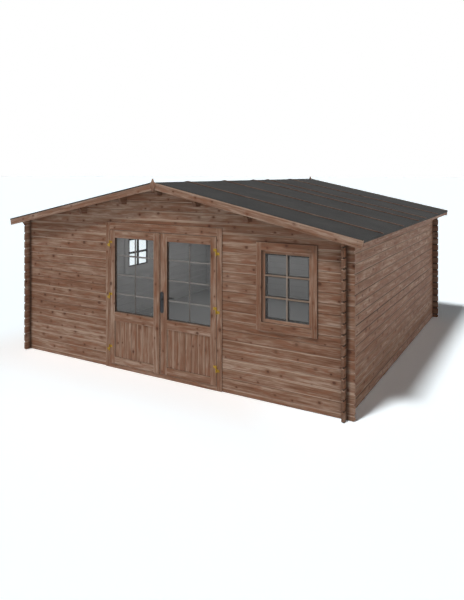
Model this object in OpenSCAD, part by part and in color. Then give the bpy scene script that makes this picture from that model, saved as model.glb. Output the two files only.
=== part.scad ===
// Log-built garden house with notched corners, a low gable roof on purlins,
// a glazed double door that opens outwards and two fixed windows.
// Millimetres, +Z up. The origin is on the ground under the middle of the house,
// +X runs to the right along the front wall and +Y runs towards the rear wall.

/* [House] */
// Width over the outer faces of the side walls
house_w = 4860; // [4500:10:5600]
// Depth over the outer faces of the front and rear walls
house_d = 4860; // [4000:10:5600]
// Full log courses in a side wall, below its plate
side_courses = 16; // [16:1:18]
// Least height of wood left over a doorway or window
over_min = 20; // [10:1:40]

/* [Logs] */
// Thickness of a log
log_t = 28; // [24:1:40]
// Height of one log course
log_h = 114; // [112:1:126]
// Length of a log beyond the wall that it crosses
log_tip = 90; // [60:5:120]
// Chamfer along the four long edges of a log
edge_chamfer = 5; // [2:0.5:7]
// Chamfer at the corners of a free log end
end_chamfer = 16; // [6:1:24]
// Height of the tongue along the top of a log
tongue_h = 8; // [4:1:12]
// Thickness of the tongue
tongue_w = 9; // [6:0.5:10]
// Gap left between pieces that seat on each other
fit = 0.4; // [0.3:0.05:0.6]

/* [Roof] */
// Slope of the roof in degrees
roof_pitch = 12; // [8:0.5:18]
// Reach of the roof beyond a side wall
eave_overhang = 227; // [150:1:320]
// Reach of the roof beyond the front or rear wall
gable_overhang = 155; // [130:1:320]
// Thickness of the roof boards
deck_t = 19; // [16:1:25]
// Thickness of the roofing felt
felt_t = 3; // [2:0.5:5]
// Depth of the felt's turned-down edge at the eaves
felt_drop = 22; // [15:1:40]
// Width of a batten that holds the felt
batten_w = 34; // [20:1:60]
// Thickness of a batten
batten_t = 9; // [6:0.5:15]
// Depth of a barge board
barge_h = 92; // [70:1:140]
// Thickness of a barge board and of an eave board
barge_t = 19; // [16:1:25]
// Height of a barge board's top above the felt
barge_lip = 4; // [2:0.5:10]
// Height of an eave board
eave_board_h = 42; // [30:1:60]

/* [Finials] */
// Height of a finial
finial_h = 165; // [120:1:220]
// Width of a finial
finial_w = 72; // [50:1:100]
// Thickness of a finial
finial_t = 18; // [12:1:25]
// Height of a finial's tip above the barge boards
finial_rise = 43; // [20:1:60]
// Width of the neck under the tip
finial_neck_w = 23; // [14:1:40]
// Height of the pointed tip above the neck
finial_tip_h = 20; // [10:1:30]
// Distance of the shoulders below the tip
finial_shoulder_z = 69; // [50:1:90]
// Height of the sides under the shoulders
finial_side_h = 33; // [20:1:50]
// Draw of the sides towards the foot
finial_draw = 3; // [0:0.5:8]
// Radius of the scoops between neck and shoulders
finial_scoop_r = 30; // [20:1:40]

/* [Purlins] */
// Width of a purlin
purlin_w = 44; // [34:1:60]
// Height of a purlin
purlin_h = 145; // [110:1:180]
// Distance of the upper purlins from the ridge
upper_purlin_x = 580; // [450:5:700]
// Distance of the lower purlins from the ridge
lower_purlin_x = 1285; // [1100:5:1500]
// Slant of a purlin's end, measured along the purlin
purlin_slant = 45; // [20:1:60]
// Height of the slanted part of a purlin's end
purlin_slant_h = 80; // [40:1:100]
// Slant of a wall plate's end, measured along the plate
plate_slant = 46; // [20:1:60]
// Height of the slanted part of a wall plate's end
plate_slant_h = 74; // [40:1:90]

/* [Door frame] */
// Clear width between the door jambs
door_clear_w = 1680; // [1500:10:1800]
// Height of the underside of the door head
door_clear_h = 1838; // [1780:1:1860]
// Height of the sill
sill_h = 50; // [30:1:80]
// Width of a jamb's outer board
jamb_w = 68; // [50:1:90]
// Height of the head's outer board
head_h = 100; // [80:1:130]
// Thickness of the jamb's lining
lining_t = 40; // [30:1:45]
// Thickness of the head's lining
head_lining_t = 43; // [30:1:45]
// How far the door frame stands proud of the logs
frame_proud = 12; // [8:1:20]
// Thickness of the boards on the inner side
inner_board_t = 14; // [10:1:20]
// Reach of the stop that the leaves close on
stop_w = 14; // [8:1:20]

/* [Door leaves] */
// Thickness of a leaf
leaf_t = 40; // [36:1:46]
// Gap around a leaf
leaf_gap = 6; // [5:0.5:8]
// Gap between the two leaves
meeting_gap = 8; // [7:0.5:12]
// Width of the stile on the hinge side
hinge_stile_w = 82; // [70:1:110]
// Width of the stile on the meeting side
lock_stile_w = 102; // [90:1:120]
// Height of the top rail
top_rail_h = 99; // [80:1:130]
// Height of the bottom rail
bottom_rail_h = 94; // [80:1:160]
// Height of the middle rail
mid_rail_h = 117; // [90:1:150]
// Height of the top of the middle rail above the ground
mid_rail_top = 747; // [650:1:850]
// Thickness of a pane
pane_t = 4; // [3:0.5:6]
// Depth of a pane behind the front of the leaf
pane_recess = 28; // [20:1:30]
// Thickness of the lower panel
panel_t = 12; // [9:0.5:14]
// Depth of the panel behind the front of the leaf
panel_recess = 10; // [6:1:14]
// Depth of the grooves that hold panes and panels
groove_d = 9; // [6:0.5:12]
// Width of the cover strip on the left leaf
strip_w = 88; // [60:1:95]
// Thickness of the cover strip
strip_t = 12; // [8:1:16]
// Bevel along the edges of the cover strip
strip_bevel = 5; // [2:0.5:7]

/* [Hinges] */
// Distance of the lowest hinge's middle from the bottom of the leaf
hinge_low = 206; // [150:1:300]
// Distance of the highest hinge's middle from the top of the leaf
hinge_high = 178; // [150:1:300]
// Radius of a hinge knuckle
knuckle_r = 8; // [6.5:0.5:8.5]
// Height of a hinge
hinge_h = 84; // [60:1:100]
// Radius of the hinge pin
pin_r = 4; // [3:0.5:5]
// Clearance around the hinge pin
pin_gap = 0.3; // [0.2:0.05:0.5]
// Depth of the pin's end below the top of the hinge
pin_sink = 6; // [4:0.5:10]
// Gap between a knuckle and the face of the leaf
knuckle_gap = 1; // [0.8:0.1:2]
// Width of the plate on the leaf, from the hinge axis
leaf_plate_w = 42; // [30:1:55]
// Width of the plate on the jamb, from the hinge axis
jamb_plate_w = 42; // [12:1:55]
// Height of a hinge plate
plate_h = 32; // [18:1:36]
// Thickness of a hinge plate
plate_t = 2.5; // [2:0.25:4]

/* [Lock] */
// Height of the lever and knob above the ground
lever_z = 1003; // [950:1:1050]
// Height of a lock plate
lock_plate_h = 272; // [200:1:300]
// Width of a lock plate
lock_plate_w = 52; // [30:1:56]
// Thickness of a lock plate
lock_plate_t = 3; // [2:0.5:5]
// Height of the plate's top above the lever
lock_plate_rise = 94; // [45:1:120]
// Distance of the lock's middle from the leaf's edge
lock_inset = 28; // [26:1:45]
// Length of the inner lever
lever_l = 122; // [95:1:135]
// Radius of the lever's bar
lever_r = 9; // [6:0.5:10]
// Standoff of the lever from the lock plate
lever_standoff = 42; // [35:1:55]
// Radius of the rose at the lever's root
lever_rose_r = 14; // [12:0.5:20]
// Thickness of the lever's rose
lever_rose_t = 6; // [3:0.5:8]
// Radius of the outer knob
knob_r = 19; // [16:0.5:26]
// Reach of the knob from the lock plate
knob_l = 27; // [22:0.5:45]
// Thickness of the knob's head
knob_head_t = 16; // [12:0.5:20]
// Bevel round the knob's head
knob_bevel = 6; // [3:0.5:8]
// Radius of the knob's neck
knob_neck_r = 10; // [7:0.5:12]

/* [Windows] */
// Width between the window's outer side boards
window_clear_w = 610; // [540:1:640]
// Height between the window's outer top and bottom boards
window_clear_h = 816; // [700:1:850]
// Thickness of the lining at the sides of a window
side_lining_t = 30; // [20:1:40]
// Thickness of the lining over and under a window
top_lining_t = 48; // [30:1:60]
// Width of an outer side board
casing_w = 63; // [50:1:80]
// Height of an outer top or bottom board
casing_h = 92; // [80:1:110]
// How far the outer boards stand proud of the logs
casing_proud = 22; // [15:1:26]
// Width of the sash's stiles and rails
sash_w = 36; // [28:1:50]
// Thickness of the sash
sash_t = 32; // [26:1:34]
// Depth of the sash behind the face of the logs
sash_recess = 6; // [3:0.5:10]
// Distance of the front window's outer boards from the right wall
front_window_inset = 293; // [200:1:450]
// Height of the front window's opening above the ground
front_window_z = 855; // [800:1:880]
// Distance of the left window's middle behind the wall's middle
left_window_y = 30; // [-300:5:300]
// Height of the left window's opening above the ground
left_window_z = 798; // [760:1:860]

/* [Hidden] */
$fn = 48;

// Batten places, measured back from the face of the front wall
batten_y = [600, 1580, 2520, 3045, 4005];

half_w = house_w / 2;
half_d = house_d / 2;
far = 20000;
eps = 0.5;

// Openings that the windows need in the logs
window_open_w = window_clear_w + 2 * side_lining_t;
window_open_h = window_clear_h + 2 * top_lining_t;
front_window_x = half_w - log_t - front_window_inset - casing_w - window_clear_w / 2;

// The side walls get more courses where the door frame or the left window stands higher
frame_top = max(door_clear_h + head_h, left_window_z + window_open_h + over_min);
courses = max(side_courses, ceil((frame_top - fit) / log_h) - 1);
plate_top = (courses + 1) * log_h;

// Roof lines: the underside of the boards passes over the outer top edge of the plates
slope = tan(roof_pitch);
rise = 1 / cos(roof_pitch);
ridge_under = plate_top + half_w * slope;
eave_x = half_w + eave_overhang;
gable_y = half_d + gable_overhang;
deck_top = ridge_under + deck_t * rise;
felt_top = deck_top + fit + felt_t * rise;
barge_top = felt_top + barge_lip;
deck_end_y = gable_y - barge_t - fit;
ridge_gap = 1;

// Levels and planes of the doorway
door_open_x = door_clear_w / 2 + lining_t + fit;
door_open_top = door_clear_h + head_lining_t;
leaf_front = -frame_proud;
leaf_back = leaf_front + leaf_t;
leaf_x0 = meeting_gap / 2;
leaf_x1 = door_clear_w / 2 - leaf_gap;
leaf_z0 = sill_h + leaf_gap;
leaf_z1 = door_clear_h - leaf_gap;
hinge_x = door_clear_w / 2 - leaf_gap / 2;
hinge_z0 = leaf_z0 + hinge_low;
hinge_z1 = leaf_z1 - hinge_high;
hinge_y = leaf_front - knuckle_r - knuckle_gap;
inner_face = log_t + fit + inner_board_t;
pane_y = leaf_front + pane_recess;
lock_x = leaf_x0 + lock_inset;

wood = "#7a5540";
pale_wood = "#8d6a54";
brass = "#b8923a";
dark_metal = "#2b2b30";
felt_grey = "#3c3d3e";
glass_tint = [0.72, 0.76, 0.76, 0.35];

function under_roof(x) = ridge_under - abs(x) * slope;
function last_gable_course() = floor((ridge_under - log_h / 4) / log_h + 0.5);

// Cross-section of a log: outer face at 0, tongue on top, groove below
module log_profile(z0, z1, groove, tongue) {
    mid = log_t / 2;
    ty = tongue_w / 2;
    gy = ty + fit;
    top = z1 - fit;
    difference() {
        union() {
            polygon([[0, z0 + edge_chamfer], [edge_chamfer, z0], [log_t - edge_chamfer, z0],
                [log_t, z0 + edge_chamfer], [log_t, top - edge_chamfer], [log_t - edge_chamfer, top],
                [edge_chamfer, top], [0, top - edge_chamfer]]);
            if (tongue)
                translate([mid - ty, top - eps]) square([tongue_w, tongue_h + eps]);
        }
        if (groove)
            translate([mid - gy, z0 - eps]) square([2 * gy, tongue_h + eps]);
    }
}

// Elevation of a log from a to b; a free end has its corners cut off
module log_elevation(a, b, z0, z1, free_a, free_b) {
    ca = free_a ? end_chamfer : 0;
    cb = free_b ? end_chamfer : 0;
    difference() {
        translate([a, z0 - eps]) square([b - a, z1 - z0 + tongue_h + 2 * eps]);
        if (free_a)
            polygon([[a - eps, z0 - 2 * eps], [a + ca + eps, z0 - eps], [a - eps, z0 + ca + eps]]);
        if (free_b)
            polygon([[b + eps, z0 - 2 * eps], [b - cb - eps, z0 - eps], [b + eps, z0 + cb + eps]]);
        if (free_a)
            polygon([[a - eps, z1 - fit - ca], [a, z1 - fit - ca], [a + ca, z1 - fit],
                [a + ca, z1 + tongue_h + 3 * eps], [a - eps, z1 + tongue_h + 3 * eps]]);
        if (free_b)
            polygon([[b + eps, z1 - fit - cb], [b, z1 - fit - cb], [b - cb, z1 - fit],
                [b - cb, z1 + tongue_h + 3 * eps], [b + eps, z1 + tongue_h + 3 * eps]]);
    }
}

// One log along X with its outer face at Y = 0; children cut its elevation
module log_bar(a, b, z0, z1, free_a = false, free_b = false, groove = true, tongue = true) {
    $log_top = z1;
    intersection() {
        translate([a - eps, 0, 0])
            rotate([90, 0, 90])
                linear_extrude(b - a + 2 * eps) log_profile(z0, z1, groove, tongue);
        translate([0, log_t + eps, 0])
            rotate([90, 0, 0])
                linear_extrude(log_t + 2 * eps)
                    difference() {
                        log_elevation(a, b, z0, z1, free_a, free_b);
                        children();
                    }
    }
}

// Notches above and below the crossing with a wall whose outer face is at c, lying inwards of it
module crossing(c, keep0, keep1) {
    x0 = c > 0 ? c - log_t - fit : c - fit;
    w = log_t + 2 * fit;
    translate([x0, keep1 - fit]) square([w, far]);
    if (keep0 > 0)
        translate([x0, keep0 - far]) square([w, far]);
}

// Everything above the roof boards
module above_roof() {
    polygon([[-far, under_roof(far) - fit], [0, ridge_under - fit], [far, under_roof(far) - fit],
        [far, far], [-far, far]]);
}

// The pockets that the purlins lie in
module purlin_pockets() {
    for (x = [-lower_purlin_x, -upper_purlin_x, 0, upper_purlin_x, lower_purlin_x])
        translate([x - purlin_w / 2 - fit, under_roof(x) - purlin_h - fit])
            square([purlin_w + 2 * fit, far]);
}

// A window opening in the elevation of a wall; it takes the tongue of the log that ends at its top
module window_cut(x, z) {
    over = $log_top <= z + window_open_h + fit ? tongue_h + eps : 0;
    translate([x - window_open_w / 2, z]) square([window_open_w, window_open_h + over]);
}

// Course k of the front or rear wall: course 0 is the half log on the ground
function course_z0(k) = max(0, (k - 0.5) * log_h);
function course_z1(k) = (k + 0.5) * log_h;

module end_wall_log(k, a, b, free_a, free_b, last = false) {
    log_bar(a, b, course_z0(k), last ? ridge_under + log_h : course_z1(k), free_a, free_b,
        groove = k > 0, tongue = !last) {
        union() {
            crossing(half_w, k > 0 ? k * log_h - log_h / 4 : 0, k * log_h + log_h / 4);
            crossing(-half_w, k > 0 ? k * log_h - log_h / 4 : 0, k * log_h + log_h / 4);
            above_roof();
            purlin_pockets();
            children();
        }
    }
}

// Course n of a side wall, along X here and turned into place by the caller
module side_wall_log(n, tip) {
    mid = (n + 0.5) * log_h;
    plate = n == courses;
    log_bar(-half_d - tip, half_d + tip, n * log_h, (n + 1) * log_h, !plate, !plate,
        groove = n > 0, tongue = !plate) {
        union() {
            crossing(half_d, mid - log_h / 4, mid + log_h / 4);
            crossing(-half_d, mid - log_h / 4, mid + log_h / 4);
            children();
        }
    }
}

// First course of the front wall that runs on over the doorway
first_over = floor((door_open_top + over_min) / log_h - 0.5) + 1;

module front_wall_left() {
    color(wood)
        translate([0, -half_d, 0])
            for (k = [0 : first_over - 1])
                end_wall_log(k, -half_w - log_tip, -door_open_x, true, false);
}

module front_window_cut() { window_cut(front_window_x, front_window_z); }

module front_wall_right() {
    color(wood)
        translate([0, -half_d, 0])
            for (k = [0 : first_over - 1])
                end_wall_log(k, door_open_x, half_w + log_tip, false, true) front_window_cut();
}

module doorway_cut() {
    translate([-door_open_x, 0]) square([2 * door_open_x, door_open_top]);
}

module front_gable() {
    color(wood)
        translate([0, -half_d, 0])
            for (k = [first_over : last_gable_course()])
                end_wall_log(k, -half_w - log_tip, half_w + log_tip, true, true,
                    k == last_gable_course()) {
                    union() {
                        doorway_cut();
                        front_window_cut();
                    }
                }
}

module rear_place() {
    translate([0, half_d, 0]) mirror([0, 1, 0]) children();
}

module rear_wall() {
    color(wood)
        rear_place()
            for (k = [0 : first_over - 1])
                end_wall_log(k, -half_w - log_tip, half_w + log_tip, true, true);
}

module rear_gable() {
    color(wood)
        rear_place()
            for (k = [first_over : last_gable_course()])
                end_wall_log(k, -half_w - log_tip, half_w + log_tip, true, true,
                    k == last_gable_course());
}

// Turns a wall built along X to the right (side = 1) or left (side = -1) of the house
module side_place(side) {
    mirror([side < 0 ? 1 : 0, 0, 0])
        translate([half_w, 0, 0])
            rotate([0, 0, 90])
                children();
}

module right_wall() {
    color(wood)
        side_place(1)
            for (n = [0 : courses - 1])
                side_wall_log(n, log_tip);
}

module left_wall() {
    color(wood)
        side_place(-1)
            for (n = [0 : courses - 1])
                side_wall_log(n, log_tip) window_cut(left_window_y, left_window_z);
}

// The plate is the top log: longer, with slanted ends and its top bevelled to the roof
module wall_plate(side) {
    reach = deck_end_y - half_d - fit;
    under = courses * log_h;
    intersection() {
        side_place(side)
            side_wall_log(courses, reach) {
                for (s = [-1, 1])
                    polygon([[s * (half_d + reach - plate_slant), under - eps],
                        [s * (half_d + reach), under + plate_slant_h],
                        [s * far, under + plate_slant_h], [s * far, under - eps]]);
                if (side < 0)
                    window_cut(left_window_y, left_window_z);
            }
        rotate([90, 0, 0])
            linear_extrude(far, center = true)
                polygon([[-far, under_roof(far) - fit], [0, ridge_under - fit],
                    [far, under_roof(far) - fit]]);
    }
}

module left_wall_plate() { color(wood) wall_plate(-1); }
module right_wall_plate() { color(wood) wall_plate(1); }

// A purlin runs the length of the roof, its top bevelled and its ends slanted underneath
module purlin(x) {
    z0 = under_roof(x) - purlin_h;
    intersection() {
        translate([x - purlin_w / 2, 0, 0])
            rotate([90, 0, 90])
                linear_extrude(purlin_w)
                    polygon([[-deck_end_y + purlin_slant, z0], [deck_end_y - purlin_slant, z0],
                        [deck_end_y, z0 + purlin_slant_h], [deck_end_y, ridge_under],
                        [-deck_end_y, ridge_under], [-deck_end_y, z0 + purlin_slant_h]]);
        rotate([90, 0, 0])
            linear_extrude(far, center = true)
                polygon([[-far, under_roof(far) - fit], [0, ridge_under - fit],
                    [far, under_roof(far) - fit]]);
    }
}

module ridge_purlin() { color(pale_wood) purlin(0); }

module left_purlins() {
    color(pale_wood) {
        purlin(-upper_purlin_x);
        purlin(-lower_purlin_x);
    }
}

module right_purlins() {
    color(pale_wood) {
        purlin(upper_purlin_x);
        purlin(lower_purlin_x);
    }
}

// A sheet on the right slope, drawn in XZ from x0 to x1 between two heights over the boards' underside
module slope_sheet(x0, x1, low, high, y0, y1) {
    translate([0, y1, 0])
        rotate([90, 0, 0])
            linear_extrude(y1 - y0)
                polygon([[x0, under_roof(x0) + low], [x1, under_roof(x1) + low],
                    [x1, under_roof(x1) + high], [x0, under_roof(x0) + high]]);
}

module left_side() { mirror([1, 0, 0]) children(); }

module deck() {
    slope_sheet(ridge_gap / 2, eave_x - felt_t - fit, 0, deck_t * rise, -deck_end_y, deck_end_y);
}

module right_roof_deck() { color(pale_wood) deck(); }
module left_roof_deck() { color(pale_wood) left_side() deck(); }

// Felt with its eave edge turned down over the ends of the boards
module felt() {
    low = deck_t * rise + fit;
    high = low + felt_t * rise;
    slope_sheet(ridge_gap / 2, eave_x, low, high, -deck_end_y, deck_end_y);
    translate([eave_x - felt_t, -deck_end_y, under_roof(eave_x) + low - felt_drop])
        cube([felt_t, 2 * deck_end_y, felt_drop + felt_t / 2]);
}

module right_felt() { color(felt_grey) felt(); }
module left_felt() { color(felt_grey) left_side() felt(); }

module felt_battens() {
    low = deck_t * rise + 2 * fit + felt_t * rise;
    for (y = batten_y)
        slope_sheet(ridge_gap / 2, eave_x, low, low + batten_t * rise,
            y - half_d - batten_w / 2, y - half_d + batten_w / 2);
}

module right_felt_battens() { color(wood) felt_battens(); }
module left_felt_battens() { color(wood) left_side() felt_battens(); }

// One barge board on the right slope, square-cut at the eave and plumb-cut at the ridge
module barge_board() {
    translate([0, gable_y, barge_top])
        rotate([90, 0, 0])
            linear_extrude(barge_t)
                intersection() {
                    rotate(-roof_pitch)
                        translate([-eave_x, -barge_h])
                            square([eave_x + eave_x * rise, barge_h]);
                    translate([ridge_gap / 2, -far / 2]) square([far, far]);
                }
}

module barge_pair() {
    barge_board();
    left_side() barge_board();
}

module rear_barge_boards() { color(wood) barge_pair(); }
module front_barge_boards() { color(wood) mirror([0, 1, 0]) barge_pair(); }

// A spear-shaped board over the joint of the barge boards
module finial() {
    neck = finial_neck_w / 2;
    shoulder = finial_w / 2;
    hip = shoulder - finial_draw;
    hip_z = finial_shoulder_z + finial_side_h;
    translate([0, gable_y + fit + finial_t, barge_top + finial_rise])
        rotate([90, 0, 0])
            linear_extrude(finial_t)
                difference() {
                    polygon([[0, 0], [neck, -finial_tip_h], [shoulder, -finial_shoulder_z],
                        [hip, -hip_z], [0, -finial_h], [-hip, -hip_z],
                        [-shoulder, -finial_shoulder_z], [-neck, -finial_tip_h]]);
                    for (s = [-1, 1])
                        translate([s * (neck + finial_scoop_r), -finial_tip_h])
                            circle(r = finial_scoop_r);
                }
}

module finials() {
    color(wood) {
        finial();
        mirror([0, 1, 0]) finial();
    }
}

// Boards under the roof boards along both eaves
module eave_board() {
    x1 = eave_x - felt_t - 2 * fit;
    x0 = x1 - barge_t;
    translate([0, deck_end_y, 0])
        rotate([90, 0, 0])
            linear_extrude(2 * deck_end_y)
                polygon([[x0, under_roof(x1) - eave_board_h], [x1, under_roof(x1) - eave_board_h],
                    [x1, under_roof(x1) - fit], [x0, under_roof(x0) - fit]]);
}

module eave_boards() {
    color(wood) {
        eave_board();
        left_side() eave_board();
    }
}

// The right jamb holds the log ends in a groove and carries the stop
module jamb() {
    x0 = door_clear_w / 2;
    full = door_clear_h + head_h;
    translate([0, -half_d, 0]) {
        translate([x0, -frame_proud, 0]) cube([jamb_w, frame_proud - fit, full]);
        translate([x0, -frame_proud, 0])
            cube([lining_t, frame_proud + inner_face, door_open_top - fit]);
        translate([x0, log_t + fit, 0]) cube([jamb_w, inner_board_t, full]);
        translate([x0 - stop_w, leaf_back + leaf_gap, 0])
            cube([stop_w + eps, inner_face - leaf_back - leaf_gap, door_clear_h - fit - stop_w]);
    }
}

module door_right_jamb() { color(wood) jamb(); }
module door_left_jamb() { color(wood) left_side() jamb(); }

module door_head() {
    w = door_clear_w - 2 * fit;
    color(wood)
        translate([-w / 2, -half_d, door_clear_h]) {
            translate([0, -frame_proud, 0]) cube([w, frame_proud - fit, head_h]);
            translate([0, -frame_proud, 0])
                cube([w, frame_proud + inner_face, door_open_top - door_clear_h - fit]);
            translate([0, log_t + fit, 0]) cube([w, inner_board_t, head_h]);
            translate([0, leaf_back + leaf_gap, -stop_w])
                cube([w, inner_face - leaf_back - leaf_gap, stop_w + eps]);
        }
}

module door_sill() {
    w = door_clear_w - 2 * stop_w - 2 * fit;
    full = door_clear_w - 2 * fit;
    color(wood)
        translate([0, -half_d, 0]) {
            translate([-full / 2, -frame_proud, 0])
                cube([full, frame_proud + leaf_back + leaf_gap - fit, sill_h]);
            translate([-w / 2, 0, 0]) cube([w, inner_face, sill_h]);
        }
}

// Right leaf, built where it hangs when shut: two stiles with three rails between them
module leaf_grooves() {
    glass_z0 = mid_rail_top - groove_d;
    glass_z1 = leaf_z1 - top_rail_h + groove_d;
    panel_z0 = leaf_z0 + bottom_rail_h - groove_d;
    panel_z1 = mid_rail_top - mid_rail_h + groove_d;
    x0 = leaf_x0 + lock_stile_w - groove_d;
    w = leaf_x1 - hinge_stile_w + groove_d - x0;
    translate([x0, pane_y - fit, glass_z0]) cube([w, pane_t + 2 * fit, glass_z1 - glass_z0]);
    translate([x0, leaf_front + panel_recess - fit, panel_z0])
        cube([w, panel_t + 2 * fit, panel_z1 - panel_z0]);
}

module leaf_frame() {
    rail_x0 = leaf_x0 + lock_stile_w + fit;
    rail_w = leaf_x1 - hinge_stile_w - fit - rail_x0;
    translate([0, -half_d, 0])
        difference() {
            union() {
                translate([leaf_x0, leaf_front, leaf_z0])
                    cube([lock_stile_w, leaf_t, leaf_z1 - leaf_z0]);
                translate([leaf_x1 - hinge_stile_w, leaf_front, leaf_z0])
                    cube([hinge_stile_w, leaf_t, leaf_z1 - leaf_z0]);
                translate([rail_x0, leaf_front, leaf_z0]) cube([rail_w, leaf_t, bottom_rail_h]);
                translate([rail_x0, leaf_front, mid_rail_top - mid_rail_h])
                    cube([rail_w, leaf_t, mid_rail_h]);
                translate([rail_x0, leaf_front, leaf_z1 - top_rail_h])
                    cube([rail_w, leaf_t, top_rail_h]);
            }
            leaf_grooves();
        }
}

module leaf_glass() {
    x0 = leaf_x0 + lock_stile_w - groove_d + fit;
    w = leaf_x1 - hinge_stile_w + groove_d - fit - x0;
    z0 = mid_rail_top - groove_d + fit;
    translate([x0, pane_y - half_d, z0])
        cube([w, pane_t, leaf_z1 - top_rail_h + groove_d - fit - z0]);
}

module leaf_panel() {
    x0 = leaf_x0 + lock_stile_w - groove_d + fit;
    w = leaf_x1 - hinge_stile_w + groove_d - fit - x0;
    z0 = leaf_z0 + bottom_rail_h - groove_d + fit;
    translate([x0, leaf_front + panel_recess - half_d, z0])
        cube([w, panel_t, mid_rail_top - mid_rail_h + groove_d - fit - z0]);
}

module right_leaf_frame() { color(wood) leaf_frame(); }
module left_leaf_frame() { color(wood) left_side() leaf_frame(); }
module right_leaf_panel() { color(wood) leaf_panel(); }
module left_leaf_panel() { color(wood) left_side() leaf_panel(); }
module right_leaf_glass() { color(glass_tint) leaf_glass(); }
module left_leaf_glass() { color(glass_tint) left_side() leaf_glass(); }

module left_leaf_strip() {
    color(pale_wood)
        translate([-leaf_x0, leaf_front - fit - half_d, leaf_z0])
            mirror([1, 0, 0])
                linear_extrude(leaf_z1 - leaf_z0)
                    polygon([[0, 0], [strip_w, 0], [strip_w, strip_bevel - strip_t],
                        [strip_w - strip_bevel, -strip_t], [strip_bevel, -strip_t],
                        [0, strip_bevel - strip_t]]);
}

// Lift-off hinge on its own axis: the lower knuckle and its pin stay on the jamb
module hinge_plate(w, side) {
    x0 = side > 0 ? 0 : -w;
    mid = side > 0 ? -hinge_h / 4 : hinge_h / 4;
    translate([x0, knuckle_r + knuckle_gap - fit - plate_t, mid - plate_h / 2])
        cube([w, plate_t, plate_h]);
}

module fixed_hinge() {
    translate([0, 0, -hinge_h / 2]) {
        cylinder(r = knuckle_r, h = hinge_h / 2 - fit);
        cylinder(r = pin_r, h = hinge_h - pin_sink);
    }
    hinge_plate(jamb_plate_w, 1);
}

module moving_hinge() {
    difference() {
        union() {
            cylinder(r = knuckle_r, h = hinge_h / 2);
            hinge_plate(leaf_plate_w, -1);
        }
        translate([0, 0, -eps]) cylinder(r = pin_r + pin_gap, h = hinge_h / 2 - pin_sink + 2 * eps);
    }
}

module hinge_row() {
    for (z = [hinge_z0, (hinge_z0 + hinge_z1) / 2, hinge_z1])
        translate([hinge_x, hinge_y - half_d, z]) children();
}

module jamb_hinges() {
    color(brass) {
        hinge_row() fixed_hinge();
        left_side() hinge_row() fixed_hinge();
    }
}

module right_leaf_hinges() { color(brass) hinge_row() moving_hinge(); }
module left_leaf_hinges() { color(brass) left_side() hinge_row() moving_hinge(); }

// Lock furniture on the right leaf
module lock_plate() {
    r = lock_plate_w / 2;
    rotate([90, 0, 0])
        linear_extrude(lock_plate_t) {
            translate([0, lock_plate_rise - r]) circle(r = r);
            translate([0, lock_plate_rise - lock_plate_h + r]) circle(r = r);
            translate([-r, lock_plate_rise - lock_plate_h + r])
                square([lock_plate_w, lock_plate_h - lock_plate_w]);
        }
}

module lock_plates() {
    color(dark_metal) {
        translate([lock_x, leaf_front - fit - half_d, lever_z]) lock_plate();
        translate([lock_x, leaf_back + fit + lock_plate_t - half_d, lever_z]) lock_plate();
    }
}

module outer_knob() {
    head = knob_l - knob_head_t;
    color(dark_metal)
        translate([lock_x, leaf_front - 2 * fit - lock_plate_t - half_d, lever_z])
            rotate([90, 0, 0])
                rotate_extrude()
                    polygon([[0, 0], [knob_neck_r, 0], [knob_neck_r, head],
                        [knob_r - knob_bevel, head], [knob_r, head + knob_bevel],
                        [knob_r, knob_l - knob_bevel], [knob_r - knob_bevel, knob_l], [0, knob_l]]);
}

module inner_lever() {
    y0 = leaf_back + 2 * fit + lock_plate_t;
    color(dark_metal)
        translate([lock_x, y0 - half_d, lever_z])
            rotate([-90, 0, 0]) {
                cylinder(r = lever_rose_r, h = lever_rose_t);
                cylinder(r = lever_r, h = lever_standoff);
                translate([0, 0, lever_standoff]) sphere(r = lever_r);
                translate([0, 0, lever_standoff])
                    rotate([0, 90, 0]) cylinder(r = lever_r, h = lever_l - lever_r);
                translate([lever_l - lever_r, 0, lever_standoff]) sphere(r = lever_r);
            }
}

// Window boards round an opening whose lower edge is at 0 and whose middle is x = 0;
// each board grips the logs between an outer and an inner flange
module window_board(w, h, cover_w, cover_h, x, z) {
    translate([x, -casing_proud, z]) cube([w, casing_proud + inner_face, h]);
    translate([cover_w[0], -casing_proud, cover_h[0]])
        cube([cover_w[1] - cover_w[0], casing_proud - fit, cover_h[1] - cover_h[0]]);
    translate([cover_w[0], log_t + fit, cover_h[0]])
        cube([cover_w[1] - cover_w[0], inner_board_t, cover_h[1] - cover_h[0]]);
}

module window_frame() {
    cw = window_clear_w / 2;
    ow = window_open_w / 2;
    z0 = (window_open_h - window_clear_h) / 2;
    z1 = window_open_h - z0;
    for (s = [0, 1])
        mirror([s, 0, 0])
            window_board(ow - cw - fit, window_open_h - 2 * fit, [cw, cw + casing_w],
                [z0 - casing_h, z1 + casing_h], cw, fit);
    window_board(2 * (cw - fit), z0 - fit, [-cw + fit, cw - fit], [z0 - casing_h, z0], fit - cw, fit);
    window_board(2 * (cw - fit), z0 - fit, [-cw + fit, cw - fit], [z1, z1 + casing_h], fit - cw, z1);
}

module window_sash() {
    w = window_clear_w - 2 * fit;
    z0 = (window_open_h - window_clear_h) / 2 + fit;
    h = window_clear_h - 2 * fit;
    groove_y = sash_recess + sash_t / 2 - pane_t / 2 - fit;
    difference() {
        union() {
            for (x = [-w / 2, w / 2 - sash_w])
                translate([x, sash_recess, z0]) cube([sash_w, sash_t, h]);
            for (z = [z0, z0 + h - sash_w])
                translate([-w / 2 + sash_w + fit, sash_recess, z])
                    cube([w - 2 * sash_w - 2 * fit, sash_t, sash_w]);
        }
        translate([-w / 2 + sash_w - groove_d, groove_y, z0 + sash_w - groove_d])
            cube([w - 2 * sash_w + 2 * groove_d, pane_t + 2 * fit, h - 2 * sash_w + 2 * groove_d]);
    }
}

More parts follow.
